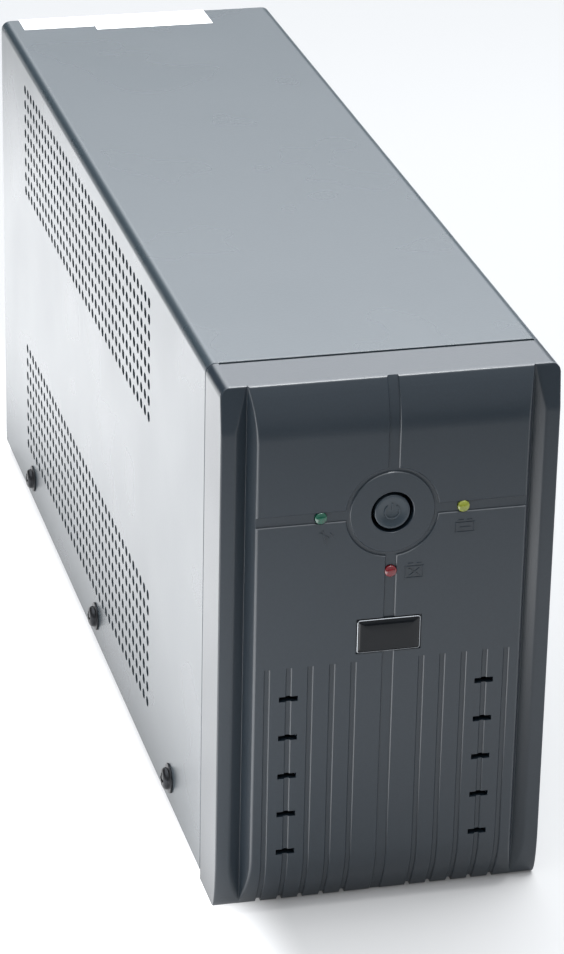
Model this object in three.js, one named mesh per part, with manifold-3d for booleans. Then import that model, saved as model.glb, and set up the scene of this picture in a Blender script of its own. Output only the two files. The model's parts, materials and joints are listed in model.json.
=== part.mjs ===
// A line-interactive uninterruptible power supply in a narrow tower case: folded steel cover and tray,
// a moulded front bezel with a push button and three lamps, a sealed battery, a laminated transformer,
// a control board, and the mains and data sockets on the rear panel.
// Millimetres, +Z up, the front faces -Y. The origin is the middle of the footprint, on the ground.
import * as THREE from "three";
import { mergeVertices } from "three/addons/utils/BufferGeometryUtils.js";
import Module from "manifold-3d";

const wasm = await Module();
wasm.setup();

// ---- Driving dimensions. Inside the unit, y is counted back from the face of the bezel's side bars. ----
const CASE_WIDTH = 95;
const CASE_TOP = 160;
const CASE_DEPTH = 333;
const BEZEL_DEPTH = 18.5;
const BEZEL_BOTTOM = 0.4;
const TRAY_BOTTOM = 3.2;
const SHEET = 1;
const GAP = 0.3;

const HALF = CASE_WIDTH / 2;
const COVER_INNER = HALF - SHEET;
const TRAY_HALF = COVER_INNER - GAP;
const TRAY_TOP = TRAY_BOTTOM + SHEET;
const SEAM = 0.6;
const COVER_RADIUS = 3;

const PANEL_PROUD = 3;
const PANEL_HALF = 38;
const PANEL_DRAFT = 0.44;
const PANEL_TOP_BEND = 144.6;
const PANEL_TOP_RADIUS = 28;
const PANEL_BOTTOM_BEND = 17.6;
const PANEL_BOTTOM_RADIUS = 25.6;
const WALL = 2.4;
const BAR_INNER = 43.5;
const BAR_GROOVE_X = 40.1;
const BAR_GROOVE_Y = 1.7;
const BAR_BOTTOM_BEND = 15.6;
const BAR_BOTTOM_BACK = 3.2;

const BUTTON_Z = 121.4;
const BUTTON_HOLE_R = 6;
const BUTTON_R = 5;
const BUTTON_TRAVEL = 3;
const BUTTON_BOSS_END = 7;
const RING_INNER = 11.9;
const RING_OUTER = 13.2;
const CROSS_WIDTH = 3.2;
const GROOVE_DEPTH = 0.7;
const LED_R = 1.7;
const LED_SIDE_X = 20.1;
const LED_LOW_Z = 103.7;

const RIB_X = [9.7, 15.8, 22.0, 28.1, 34.3];
const RIB_WIDTH = 1.5;
const RIB_TOP = 76.8;
const SLOT = { x: 28.1, width: 5.4, height: 1.6, lowest: 19.1, pitch: 12.05, rows: 5 };
const BADGE = { width: 18, height: 10, z: 84.5, pocket: 0.6, thick: 0.9 };

const BOARD_Y = 17;
const BOARD_THICK = 1.6;
const SPRING_WIRE = 0.5;

const SCREW_Y = [59.5, 169.5, 279.5];
const SCREW_Z = 11.1;
const SCREW_HOLE_R = 2.1;
const SCREW_HEAD = 2.5;

const BATTERY = { width: 65, length: 151, height: 94, y: 30 };
const BRACKET_SHEET = 1.2;
const CORE = { width: 86, height: 71.7, stack: 50, y: 200, leg: 28.7, window: 14.35 };
const MAIN_BOARD = { half: 40, y0: 85, y1: 275, z: 112 };

const SOCKET_FLANGE = 2.1;
const SOCKET_X = 23;
const INLET_Z = 31;
const OUTPUT_SOCKETS = [
  ["output_socket_lower_left", -SOCKET_X, 70],
  ["output_socket_upper_left", -SOCKET_X, 101],
  ["output_socket_upper_right", SOCKET_X, 101],
];
const DATA_JACK_Z = 72;
const USB_Z = 52;
const LABEL_THICK = 0.25;
const LABEL_DROP = 15;

const FACE_Y = CASE_DEPTH + GAP + SOCKET_FLANGE;
const FRONT_Y = -(PANEL_PROUD + BADGE.thick + GAP - BADGE.pocket);
const UNIT_Y = -(FACE_Y + FRONT_Y) / 2;

// ---- Finishes ----
const finish = (color, roughness, metalness = 0) =>
  new THREE.MeshStandardMaterial({ color, roughness, metalness });
const paint = finish(0x3a3f45, 0.45, 0.1);
const zinc = finish(0xa9adb0, 0.4, 0.9);
const charcoal = finish(0x33383b, 0.5);
const black = finish(0x151617, 0.45);
const rubber = finish(0x1b1b1c, 0.85);
const blackSteel = finish(0x1c1d1f, 0.35, 0.6);
const laminate = finish(0x2c6b3f, 0.6);
const brass = finish(0xb9975b, 0.3, 0.95);
const steel = finish(0xb8bbbe, 0.3, 0.95);
const iron = finish(0x4a4744, 0.6, 0.7);
const copper = finish(0x9a5a33, 0.45, 0.4);
const aluminium = finish(0xb5b8ba, 0.4, 0.9);
const ivory = finish(0xd8d4c4, 0.6);
const paper = finish(0xf2f2ee, 0.7);
const redWire = finish(0xa01c1c, 0.5);
const glass = finish(0xdfe8ea, 0.1);
const greenLens = finish(0x12684c, 0.2);
const yellowLens = finish(0xc9cf4a, 0.2);
const redLens = finish(0xb0182a, 0.2);

// ---- Shapes ----
const block = (x0, x1, y0, y1, z0, z1) =>
  new THREE.BoxGeometry(x1 - x0, y1 - y0, z1 - z0).translate((x0 + x1) / 2, (y0 + y1) / 2, (z0 + z1) / 2);

const outline = (points) => new THREE.Shape(points.map(([a, b]) => new THREE.Vector2(a, b)));

const flat = (shape, depth) =>
  new THREE.ExtrudeGeometry(shape, { depth, bevelEnabled: false, curveSegments: 4 });

// A section drawn as (y, z), from x0 to x1.
const alongX = (points, x0, x1) => {
  const turn = new THREE.Matrix4().makeBasis(
    new THREE.Vector3(0, 1, 0),
    new THREE.Vector3(0, 0, 1),
    new THREE.Vector3(1, 0, 0),
  );
  return flat(outline(points), x1 - x0).applyMatrix4(turn).translate(x0, 0, 0);
};

// A section drawn as (x, z), from y0 to y1.
const alongY = (points, y0, y1) => flat(outline(points), y1 - y0).rotateX(Math.PI / 2).translate(0, y1, 0);

// A section drawn as (x, y), from z0 to z1.
const alongZ = (points, z0, z1) => flat(outline(points), z1 - z0).translate(0, 0, z0);

const roundY = (r, y0, y1, x, z, sides = 24) =>
  new THREE.CylinderGeometry(r, r, y1 - y0, sides).translate(x, (y0 + y1) / 2, z);

const roundX = (r, x0, x1, y, z, sides = 16) =>
  new THREE.CylinderGeometry(r, r, x1 - x0, sides).rotateZ(-Math.PI / 2).translate((x0 + x1) / 2, y, z);

const roundZ = (r, z0, z1, x, y, sides = 16) =>
  new THREE.CylinderGeometry(r, r, z1 - z0, sides).rotateX(Math.PI / 2).translate(x, y, (z0 + z1) / 2);

// A profile of (radius, height) turned about the y axis.
const turned = (profile, sides = 24) =>
  new THREE.LatheGeometry(profile.map(([r, h]) => new THREE.Vector2(r, h)), sides);

// ---- Joining and cutting ----
function solidOf(geometry) {
  const bare = new THREE.BufferGeometry().setAttribute("position", geometry.getAttribute("position"));
  bare.setIndex(geometry.index);
  const merged = mergeVertices(bare, 1e-4);
  const triVerts = new Uint32Array(merged.index.array);
  const vertProperties = merged.attributes.position.array;
  const made = new wasm.Manifold(new wasm.Mesh({ numProp: 3, vertProperties, triVerts }));
  if (made.volume() > 0) return made;
  for (let i = 0; i < triVerts.length; i += 3) [triVerts[i], triVerts[i + 1]] = [triVerts[i + 1], triVerts[i]];
  return new wasm.Manifold(new wasm.Mesh({ numProp: 3, vertProperties, triVerts }));
}

const joined = (geometries) => geometries.map(solidOf).reduce((whole, piece) => whole.add(piece));

function geometryOf(solid) {
  const mesh = solid.getMesh();
  const geometry = new THREE.BufferGeometry();
  geometry.setAttribute("position", new THREE.BufferAttribute(new Float32Array(mesh.vertProperties), 3));
  geometry.setIndex(new THREE.BufferAttribute(new Uint32Array(mesh.triVerts), 1));
  const faceted = geometry.toNonIndexed();
  faceted.computeVertexNormals();
  return faceted;
}

// The outline of the case as (x, z): straight sides and a top with rounded corners.
function archLine(half, top, radius) {
  const corner = [0, 30, 60, 90].map((degrees) => {
    const a = THREE.MathUtils.degToRad(degrees);
    return [half - radius + radius * Math.cos(a), top - radius + radius * Math.sin(a)];
  });
  return [...corner, ...corner.map(([x, z]) => [-x, z]).reverse()];
}

const archBlock = (half, top, radius, bottom, y0, y1) =>
  alongY([[half, bottom], ...archLine(half, top, radius), [-half, bottom]], y0, y1);

const unit = new THREE.Group();
unit.position.y = UNIT_Y;

function addPiece(name, material, added, cut = []) {
  const solid = cut.length ? joined(added).subtract(joined(cut)) : joined(added);
  addSolid(name, material, solid);
}

function addSolid(name, material, solid) {
  const mesh = new THREE.Mesh(geometryOf(solid), material);
  mesh.name = name;
  unit.add(mesh);
}

// ---- Front bezel ----

// The raised panel's front line, as (y, z) from the bottom edge to the top edge, set back by an inset.
function panelLine(inset) {
  const line = [];
  const steps = 6;
  for (let i = 0; i <= steps; i++) {
    const z = BEZEL_BOTTOM + ((PANEL_BOTTOM_BEND - BEZEL_BOTTOM) * i) / steps;
    line.push([inset - PANEL_PROUD + (PANEL_BOTTOM_BEND - z) ** 2 / (2 * PANEL_BOTTOM_RADIUS), z]);
  }
  for (let i = 0; i <= steps; i++) {
    const z = PANEL_TOP_BEND + ((CASE_TOP - PANEL_TOP_BEND) * i) / steps;
    line.push([inset - PANEL_PROUD + (z - PANEL_TOP_BEND) ** 2 / (2 * PANEL_TOP_RADIUS), z]);
  }
  return line;
}

// The side bars' rounded foot, as (y, z) from the bottom edge upwards.
function barFoot() {
  return [90, 72, 52, 30, 0].map((degrees) => {
    const a = THREE.MathUtils.degToRad(degrees);
    const drop = (BAR_BOTTOM_BEND - BEZEL_BOTTOM) * Math.sin(a);
    return [BAR_BOTTOM_BACK * (1 - Math.cos(a)), BAR_BOTTOM_BEND - drop];
  });
}

function bezelShell() {
  const back = BEZEL_DEPTH;
  const bars = solidOf(
    alongX(
      [
        [back, BEZEL_BOTTOM],
        ...barFoot(),
        [0, 147.1],
        [1.5, 159.3],
        [2.2, CASE_TOP],
        [back, CASE_TOP],
      ],
      -HALF,
      HALF,
    ),
  );
  const grooves = [1, -1].map((side) =>
    alongZ(
      [
        [side * (PANEL_HALF - 1), BAR_GROOVE_Y],
        [side * BAR_GROOVE_X, BAR_GROOVE_Y],
        [side * BAR_INNER, 0],
        [side * (BAR_INNER + 2), -1],
        [side * (BAR_INNER + 2), -5],
        [side * (PANEL_HALF - 1), -5],
      ],
      0,
      CASE_TOP + 1,
    ),
  );
  const draftDepth = PANEL_PROUD + 3.2;
  const panelFoot = PANEL_HALF + PANEL_DRAFT * draftDepth;
  const panelBlock = alongZ(
    [
      [-PANEL_HALF, -PANEL_PROUD],
      [PANEL_HALF, -PANEL_PROUD],
      [panelFoot, 3.2],
      [-panelFoot, 3.2],
    ],
    BEZEL_BOTTOM,
    CASE_TOP,
  );
  const panelSide = alongX([...panelLine(0), [10, CASE_TOP], [10, BEZEL_BOTTOM]], -HALF, HALF);
  const panel = solidOf(panelBlock).intersect(solidOf(panelSide));
  const envelope = archBlock(HALF, CASE_TOP, COVER_RADIUS, BEZEL_BOTTOM, -PANEL_PROUD - 1, BEZEL_DEPTH);
  return bars.subtract(joined(grooves)).add(panel).intersect(solidOf(envelope));
}

// The cross, ring and rib grooves: slabs that reach a constant depth below the panel's curved face.
function bezelGrooves() {
  const ribs = RIB_X.flatMap((x) => [x, -x]).map((x) =>
    block(x - RIB_WIDTH / 2, x + RIB_WIDTH / 2, -5, 9, 0, RIB_TOP),
  );
  const cross = [
    block(-CROSS_WIDTH / 2, CROSS_WIDTH / 2, -5, 9, 0, CASE_TOP + 1),
    block(-PANEL_HALF - 2, PANEL_HALF + 2, -5, -1, BUTTON_Z - CROSS_WIDTH / 2, BUTTON_Z + CROSS_WIDTH / 2),
    roundY(RING_OUTER, -5, -1, 0, BUTTON_Z, 48),
  ];
  const keptDisc = solidOf(roundY(RING_INNER, -6, 9, 0, BUTTON_Z, 48));
  const below = alongX([...panelLine(GROOVE_DEPTH), [12, CASE_TOP], [12, BEZEL_BOTTOM]], -HALF - 1, HALF + 1);
  return joined([...ribs, ...cross]).subtract(keptDisc).subtract(solidOf(below));
}

function addBezel() {
  const inside = HALF - 2.3;
  const lip = { outer: TRAY_HALF, inner: TRAY_HALF - 1.6, top: CASE_TOP - SHEET - GAP };
  const lipBlock = archBlock(lip.outer, lip.top, COVER_RADIUS - SHEET, 20, BEZEL_DEPTH - 3, BEZEL_DEPTH + 3.5);
  const lipRing = solidOf(lipBlock).subtract(
    solidOf(block(-lip.inner, lip.inner, 0, BEZEL_DEPTH + 5, 10, lip.top - 1.6)),
  );
  const hollow = joined([
    block(-inside, inside, 4, BEZEL_DEPTH + 1, BEZEL_BOTTOM + WALL, CASE_TOP - WALL),
    block(-PANEL_HALF + 2, PANEL_HALF - 2, WALL - PANEL_PROUD, 4.1, 19, 143),
  ]);
  const boss = roundY(BUTTON_HOLE_R + 2, WALL - PANEL_PROUD - 0.5, BUTTON_BOSS_END, 0, BUTTON_Z);
  const posts = [-26, 26].map((x) => roundY(2.5, WALL - PANEL_PROUD - 0.5, BOARD_Y - GAP, x, BUTTON_Z + 7, 12));
  const slots = [-SLOT.x, SLOT.x].flatMap((x) =>
    Array.from({ length: SLOT.rows }, (_, i) => {
      const z = SLOT.lowest + i * SLOT.pitch;
      return block(x - SLOT.width / 2, x + SLOT.width / 2, -4, 1, z - SLOT.height / 2, z + SLOT.height / 2);
    }),
  );
  const lampHoles = [
    [-LED_SIDE_X, BUTTON_Z],
    [LED_SIDE_X, BUTTON_Z],
    [0, LED_LOW_Z],
  ].map(([x, z]) => roundY(LED_R + 0.2, -4, 1, x, z, 16));
  const pocket = block(
    -BADGE.width / 2 - GAP,
    BADGE.width / 2 + GAP,
    -PANEL_PROUD - 1,
    -PANEL_PROUD + BADGE.pocket,
    BADGE.z - BADGE.height / 2 - GAP,
    BADGE.z + BADGE.height / 2 + GAP,
  );
  const buttonHole = roundY(BUTTON_HOLE_R, -5, 10, 0, BUTTON_Z, 32);
  const shell = bezelShell().subtract(hollow).add(lipRing).add(joined([boss, ...posts]));
  const cuts = joined([...slots, ...lampHoles, pocket, buttonHole]).add(bezelGrooves());
  addSolid("front_bezel", charcoal, shell.subtract(cuts));
}

function addBadge() {
  const back = -PANEL_PROUD + BADGE.pocket - GAP;
  const { width, height, z, thick } = BADGE;
  const [halfX, halfZ, rim] = [width / 2, height / 2, 0.5];
  addPiece("badge_plate", steel, [
    block(-halfX, halfX, back - thick * 0.6, back, z - halfZ, z + halfZ),
    block(rim - halfX, halfX - rim, back - thick, back - 0.1, z - halfZ + rim, z + halfZ - rim),
  ]);
}

// ---- Push button, its spring and its switch ----

function addButton() {
  const front = 0.2 - PANEL_PROUD;
  const flangeY = BUTTON_BOSS_END + 0.4;
  const cap = turned([
    [0, front + 0.5],
    [2.6, front + 0.25],
    [BUTTON_R - 0.7, front],
    [BUTTON_R, front + 0.6],
    [BUTTON_R, flangeY],
    [7.4, flangeY],
    [7.4, flangeY + 1.2],
    [2, flangeY + 1.2],
    [2, 12.5],
    [0, 12.5],
  ]).translate(0, 0, BUTTON_Z);
  addPiece("power_button", black, [cap]);

  class Helix extends THREE.Curve {
    getPoint(t) {
      const turns = 5;
      const radius = 3.2;
      const start = flangeY + 1.2 + GAP + SPRING_WIRE / 2;
      const end = BOARD_Y - GAP - SPRING_WIRE / 2;
      const angle = 2 * Math.PI * turns * t;
      return new THREE.Vector3(radius * Math.cos(angle), start + (end - start) * t, radius * Math.sin(angle));
    }
  }
  const wire = new THREE.Shape().absarc(0, 0, SPRING_WIRE / 2, 0, 2 * Math.PI);
  const spring = new THREE.ExtrudeGeometry(wire, {
    steps: 60,
    curveSegments: 3,
    bevelEnabled: false,
    extrudePath: new Helix(),
  }).translate(0, 0, BUTTON_Z);
  addPiece("button_spring", steel, [spring]);

  addPiece("switch_plunger", ivory, [roundY(1.5, 12.5 + GAP, 24, 0, BUTTON_Z, 16)]);
  const bodyY = BOARD_Y + BOARD_THICK + GAP;
  const bodyEnd = bodyY + 9.5;
  addPiece(
    "push_switch",
    black,
    [
      block(-5, 5, bodyY, bodyEnd, BUTTON_Z - 5, BUTTON_Z + 5),
      ...[-3, 0, 3].map((x) => block(x - 0.4, x + 0.4, bodyEnd - 1, bodyEnd + 4, BUTTON_Z - 0.5, BUTTON_Z + 0.5)),
    ],
    [roundY(1.9, bodyY - 1, 24 + BUTTON_TRAVEL + 0.5, 0, BUTTON_Z, 16)],
  );
}

// ---- Lamps and their board ----

function addLamp(name, material, x, z) {
  const crown = 0.6;
  const flange = 2.6;
  const dome = [0, 30, 60, 90].map((degrees) => {
    const a = THREE.MathUtils.degToRad(degrees);
    return [LED_R * Math.sin(a), -PANEL_PROUD - crown * Math.cos(a)];
  });
  const body = turned([...dome, [LED_R, flange], [1.9, flange], [1.9, flange + 1], [0, flange + 1]], 16);
  const legs = [-0.65, 0.65].map((dx) => block(dx - 0.25, dx + 0.25, flange + 0.8, BOARD_Y - GAP, -0.25, 0.25));
  addPiece(name, material, [body, ...legs].map((g) => g.translate(x, 0, z)));
}

function addDisplay() {
  addLamp("led_green", greenLens, -LED_SIDE_X, BUTTON_Z);
  addLamp("led_yellow", yellowLens, LED_SIDE_X, BUTTON_Z);
  addLamp("led_red", redLens, 0, LED_LOW_Z);
  addPiece(
    "display_board",
    laminate,
    [block(-30, 30, BOARD_Y, BOARD_Y + BOARD_THICK, BUTTON_Z - 24, BUTTON_Z + 12)],
    [roundY(2.5, BOARD_Y - 1, BOARD_Y + 3, 0, BUTTON_Z, 16)],
  );
}

// ---- Steel case ----

const screwHoles = () => SCREW_Y.map((y) => roundX(SCREW_HOLE_R, -HALF - 1, HALF + 1, y, SCREW_Z));

function addCover() {
  const outer = archLine(HALF, CASE_TOP, COVER_RADIUS);
  const inner = archLine(COVER_INNER, CASE_TOP - SHEET, COVER_RADIUS - SHEET);
  const section = [
    [HALF, TRAY_BOTTOM],
    ...outer,
    [-HALF, TRAY_BOTTOM],
    [-COVER_INNER, TRAY_BOTTOM],
    ...inner.reverse(),
    [COVER_INNER, TRAY_BOTTOM],
  ];
  addPiece("outer_cover", paint, [alongY(section, BEZEL_DEPTH + SEAM, CASE_DEPTH)], screwHoles());
}

function addTray() {
  const back = CASE_DEPTH - SHEET - GAP;
  const flange = 18;
  const walls = [-1, 1].map((side) => {
    const [x0, x1] = [side * TRAY_HALF, side * (TRAY_HALF - SHEET)].sort((a, b) => a - b);
    return block(x0, x1, 24, back - 7, TRAY_BOTTOM, flange);
  });
  const floor = block(-TRAY_HALF, TRAY_HALF, BEZEL_DEPTH + SEAM + GAP, back, TRAY_BOTTOM, TRAY_TOP);
  const front = block(-TRAY_HALF + 2, TRAY_HALF - 2, 23.5, 23.5 + SHEET, TRAY_BOTTOM, flange);
  addPiece("base_tray", zinc, [floor, front, ...walls], screwHoles());
}

function addRearPanel() {
  const [y0, y1] = [CASE_DEPTH - SHEET, CASE_DEPTH];
  const top = CASE_TOP - SHEET - GAP;
  const hole = (x, z, halfX, low, high) => block(x - halfX, x + halfX, y0 - 1, y1 + 1, z + low, z + high);
  const sides = [-1, 1].map((side) => {
    const [x0, x1] = [side * TRAY_HALF, side * (TRAY_HALF - SHEET)].sort((a, b) => a - b);
    return block(x0, x1, y0 - 6, y0 + 0.5, 20, top - 2);
  });
  const vents = Array.from({ length: 8 }, (_, i) => hole(9 + i * 4.2, 0, 1.2, 12, 36));
  addPiece(
    "rear_panel",
    paint,
    [
      archBlock(TRAY_HALF, top, COVER_RADIUS - SHEET, TRAY_BOTTOM, y0, y1),
      block(-44, 44, y0 - 8, y0 + 0.5, top - SHEET, top),
      ...sides,
    ],
    [
      hole(-SOCKET_X, INLET_Z, 14.2, -20.3, 17.3),
      ...OUTPUT_SOCKETS.map(([, x, z]) => hole(x, z, 17.2, -13.5, 13.5)),
      hole(SOCKET_X, DATA_JACK_Z, 15.3, -7.3, 7.3),
      hole(SOCKET_X, USB_Z, 6.5, -6, 6),
      ...vents,
    ],
  );
}

function addFeet() {
  for (const [place, y] of [["front", 45], ["rear", 300]]) {
    for (const [side, x] of [["left", -33], ["right", 33]]) {
      addPiece(`foot_${place}_${side}`, rubber, [
        turned([[0, 0], [7.4, 0], [8, 0.6], [8, TRAY_BOTTOM - GAP], [0, TRAY_BOTTOM - GAP]], 20)
          .rotateX(Math.PI / 2)
          .translate(x, y, 0),
      ]);
    }
  }
}

// A flanged pan-head screw, drawn along +y with its bearing face at 0.
function coverScrew() {
  return turned(
    [[0, -7], [1.7, -7], [1.7, 0], [4.5, 0], [4.5, 0.6], [3.4, 0.75], [3.3, 1.7], [2.4, 2.3], [0, SCREW_HEAD]],
    16,
  );
}

function addCoverScrews() {
  const bearing = HALF + GAP;
  for (const [side, sign] of [["left", -1], ["right", 1]]) {
    SCREW_Y.forEach((y, i) => {
      const place = ["front", "middle", "rear"][i];
      const screw = coverScrew().rotateZ((-sign * Math.PI) / 2).translate(sign * bearing, y, SCREW_Z);
      addPiece(`cover_screw_${side}_${place}`, blackSteel, [screw]);
    });
  }
}

function addLabels() {
  const [low, high] = [GAP, GAP + LABEL_THICK];
  const fold = (front) => [
    [front, CASE_TOP + low],
    [CASE_DEPTH + low, CASE_TOP + low],
    [CASE_DEPTH + low, CASE_TOP - LABEL_DROP],
    [CASE_DEPTH + high, CASE_TOP - LABEL_DROP],
    [CASE_DEPTH + high, CASE_TOP + high],
    [front, CASE_TOP + high],
  ];
  addPiece("rear_label_left", paper, [alongX(fold(321.5), -41.5, -17.3)]);
  addPiece("rear_label_right", paper, [alongX(fold(317.7), -17, 23.6)]);
}

// ---- Battery ----

function addBattery() {
  const { width, length, height, y } = BATTERY;
  const base = TRAY_TOP + GAP;
  const top = base + height;
  const half = width / 2;
  addPiece("battery_case", charcoal, [
    block(-half, half, y, y + length, base, top - 4),
    block(-half + 1, half - 1, y + 1, y + length - 1, top - 5, top),
  ]);
  for (const [pole, x, wire] of [["positive", -20, "red"], ["negative", 20, "black"]]) {
    const side = Math.sign(x);
    const tabY = y + length - 9;
    addPiece(`battery_terminal_${pole}`, brass, [
      block(x - 0.4, x + 0.4, tabY - 3.2, tabY + 3.2, top + GAP, top + 8),
    ]);
    const route = [
      [20.8, tabY, 103.6],
      [30, tabY, 104.4],
      [39, tabY - 1, 106],
      [43.2, tabY - 3, 111],
      [43, tabY - 6, 117],
      [38, tabY - 9, 119.6],
      [34, tabY - 10, 118],
      [33.4, tabY - 10, 114.3],
    ];
    const path = new THREE.CatmullRomCurve3(route.map(([px, py, pz]) => new THREE.Vector3(side * px, py, pz)));
    const lead = new THREE.ExtrudeGeometry(new THREE.Shape().absarc(0, 0, 1.4, 0, 2 * Math.PI), {
      steps: 24,
      curveSegments: 4,
      bevelEnabled: false,
      extrudePath: path,
    });
    addPiece(`battery_lead_${wire}`, wire === "red" ? redWire : black, [lead]);
  }
  const [inner, outer, foot] = [half + 0.8, half + 0.8 + BRACKET_SHEET, 44];
  const crown = top + 1;
  addPiece("battery_bracket", zinc, [
    alongY(
      [
        [foot, base],
        [foot, base + BRACKET_SHEET],
        [outer, base + BRACKET_SHEET],
        [outer, crown + BRACKET_SHEET],
        [-outer, crown + BRACKET_SHEET],
        [-outer, base + BRACKET_SHEET],
        [-foot, base + BRACKET_SHEET],
        [-foot, base],
        [-inner, base],
        [-inner, crown],
        [inner, crown],
        [inner, base],
      ],
      95,
      125,
    ),
  ]);
}

// ---- Transformer ----

function addTransformer() {
  const { width, height, stack, y, leg, window } = CORE;
  const base = TRAY_TOP + GAP;
  const top = base + height;
  const half = width / 2;
  const mid = y + stack / 2;
  const windowLow = base + window;
  const windowHigh = top - window;
  const slab = (halfX, halfY, z0, z1) => block(-halfX, halfX, mid - halfY, mid + halfY, z0, z1);
  addPiece(
    "transformer_core",
    iron,
    [block(-half, half, y, y + stack, base, top)],
    [-1, 1].map((side) => {
      const [x0, x1] = [(side * leg) / 2, side * leg].sort((a, b) => a - b);
      return block(x0, x1, y - 1, y + stack + 1, windowLow, windowHigh);
    }),
  );
  const sleeve = { x: leg / 2 + GAP, y: stack / 2 + GAP };
  const moulded = 1.35;
  const [low, high] = [windowLow + GAP, windowHigh - GAP];
  const flangeTop = low + 1.5;
  const flangeBase = high - 1.5;
  addPiece(
    "transformer_bobbin",
    ivory,
    [
      slab(sleeve.x + moulded, sleeve.y + moulded, low, high),
      slab(leg - GAP, 38, low, flangeTop),
      slab(leg - GAP, 38, flangeBase, high),
    ],
    [slab(sleeve.x, sleeve.y, low - 1, high + 1)],
  );
  const bore = { x: sleeve.x + moulded + GAP, y: sleeve.y + moulded + GAP };
  addPiece(
    "transformer_winding",
    copper,
    [slab(leg - 0.9, 37.5, flangeTop + GAP, flangeBase - GAP)],
    [slab(bore.x, bore.y, flangeTop - 1, flangeBase + 1)],
  );

  const inner = half + GAP;
  const outer = inner + BRACKET_SHEET;
  const feet = [-1, 1].flatMap((side) => {
    const [x0, x1] = [side * 31, side * outer].sort((a, b) => a - b);
    const [wall0, wall1] = [side * inner, side * outer].sort((a, b) => a - b);
    return [
      block(x0, x1, y - 11, y - GAP, base, base + BRACKET_SHEET),
      block(x0, x1, y + stack + GAP, y + stack + 11, base, base + BRACKET_SHEET),
      block(wall0, wall1, y - 2, y + stack + 2, base, 20),
    ];
  });
  const strap = solidOf(block(-outer, outer, y, y + stack, base, top + GAP + BRACKET_SHEET)).subtract(
    solidOf(block(-inner, inner, y - 1, y + stack + 1, base - 1, top + GAP)),
  );
  addSolid("transformer_frame", zinc, strap.add(joined(feet)));
}

// ---- Control board ----

function addMainBoard() {
  const { half, y0, y1, z } = MAIN_BOARD;
  const face = z + BOARD_THICK + GAP;
  addPiece("main_board", laminate, [block(-half, half, y0, y1, z, z + BOARD_THICK)]);
  const bracketTop = TRAY_TOP + GAP + BATTERY.height + 1 + BRACKET_SHEET + GAP;
  const frameTop = TRAY_TOP + GAP + CORE.height + GAP + BRACKET_SHEET + GAP;
  for (const [place, y, low] of [["front", 110, bracketTop], ["rear", 225, frameTop]]) {
    for (const [side, x] of [["left", -28], ["right", 28]]) {
      addPiece(`standoff_${place}_${side}`, brass, [roundZ(3, low, z - GAP, x, y, 6)]);
    }
  }
  for (const [side, sign] of [["left", -1], ["right", 1]]) {
    const fins = [0, 1, 2, 3, 4, 5].map((i) => face + 1.5 + i * 6);
    const comb = [
      [19, face],
      [22, face],
      ...fins.flatMap((low) => [[22, low], [39, low], [39, low + 1.6], [22, low + 1.6]]),
      [22, face + 35],
      [19, face + 35],
    ];
    addPiece(`heat_sink_${side}`, aluminium, [alongY(comb.map(([x, h]) => [sign * x, h]), 195, 255)]);
    const [x0, x1] = [sign * 18.7, sign * 14.2].sort((a, b) => a - b);
    const legX = sign * 16.4;
    addPiece(`power_transistor_${side}`, black, [
      block(x0, x1, 220, 230, face + 4, face + 19),
      ...[222.5, 225, 227.5].map((y) => block(legX - 0.4, legX + 0.4, y - 0.4, y + 0.4, face, face + 5)),
    ]);
  }
  addPiece("relay_input", black, [block(-34, -18.5, 140, 159, face, face + 15.3)]);
  addPiece("relay_output", black, [block(-8, 7.5, 140, 159, face, face + 15.3)]);
  addPiece("capacitor", black, [roundZ(8, face, face + 25, 22, 180, 20)]);
  addPiece("buzzer", black, [roundZ(6, face, face + 8, 26, 115, 20)], [roundZ(1, face + 6, face + 9, 26, 115, 8)]);
  addPiece("control_chip", black, [block(-3.8, 3.8, 95, 130, face, face + 3.6)]);
}

// ---- Rear sockets ----

function addInlet() {
  const x = -SOCKET_X;
  const z = INLET_Z;
  const cavity = { halfX: 12.25, low: -2.3, high: 14.3, floor: FACE_Y - 15.5 };
  const drawer = { halfX: 10, low: -17, high: -9, back: FACE_Y - 24 };
  const pins = [
    ["live", -7, 4],
    ["neutral", 7, 4],
    ["earth", 0, 8],
  ];
  const frontY = 306;
  addPiece(
    "mains_inlet",
    black,
    [
      block(x - 15, x + 15, CASE_DEPTH + GAP, FACE_Y, z - 23, z + 20),
      block(x - 13.9, x + 13.9, frontY, CASE_DEPTH + GAP + 0.5, z - 20, z + 17),
    ],
    [
      block(x - cavity.halfX, x + cavity.halfX, cavity.floor, FACE_Y + 1, z + cavity.low, z + cavity.high),
      block(
        x - drawer.halfX - GAP,
        x + drawer.halfX + GAP,
        drawer.back - 1,
        FACE_Y + 1,
        z + drawer.low - GAP,
        z + drawer.high + GAP,
      ),
      ...pins.map(([, dx, dz]) =>
        block(x + dx - 1.3, x + dx + 1.3, frontY - 1, cavity.floor + 1, z + dz - 2.3, z + dz + 2.3),
      ),
    ],
  );
  for (const [role, dx, dz] of pins) {
    addPiece(`inlet_pin_${role}`, brass, [
      block(x + dx - 1, x + dx + 1, frontY - 8, FACE_Y - 2, z + dz - 2, z + dz + 2),
    ]);
  }
  const middle = z + (drawer.low + drawer.high) / 2;
  addPiece(
    "fuse_drawer",
    black,
    [block(x - drawer.halfX, x + drawer.halfX, drawer.back, FACE_Y - 0.2, z + drawer.low, z + drawer.high)],
    [
      block(x - 3, x + 3, drawer.back + 1, FACE_Y - 2.2, middle - 3, z + drawer.high + 1),
      block(x - 2, x + 2, FACE_Y - 1.4, FACE_Y + 1, z + drawer.high - 2, z + drawer.high + 1),
    ],
  );
  addPiece("fuse_link", glass, [roundY(2.55, drawer.back + 1.3, FACE_Y - 2.5, x, middle - 0.1, 16)]);
}

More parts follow.
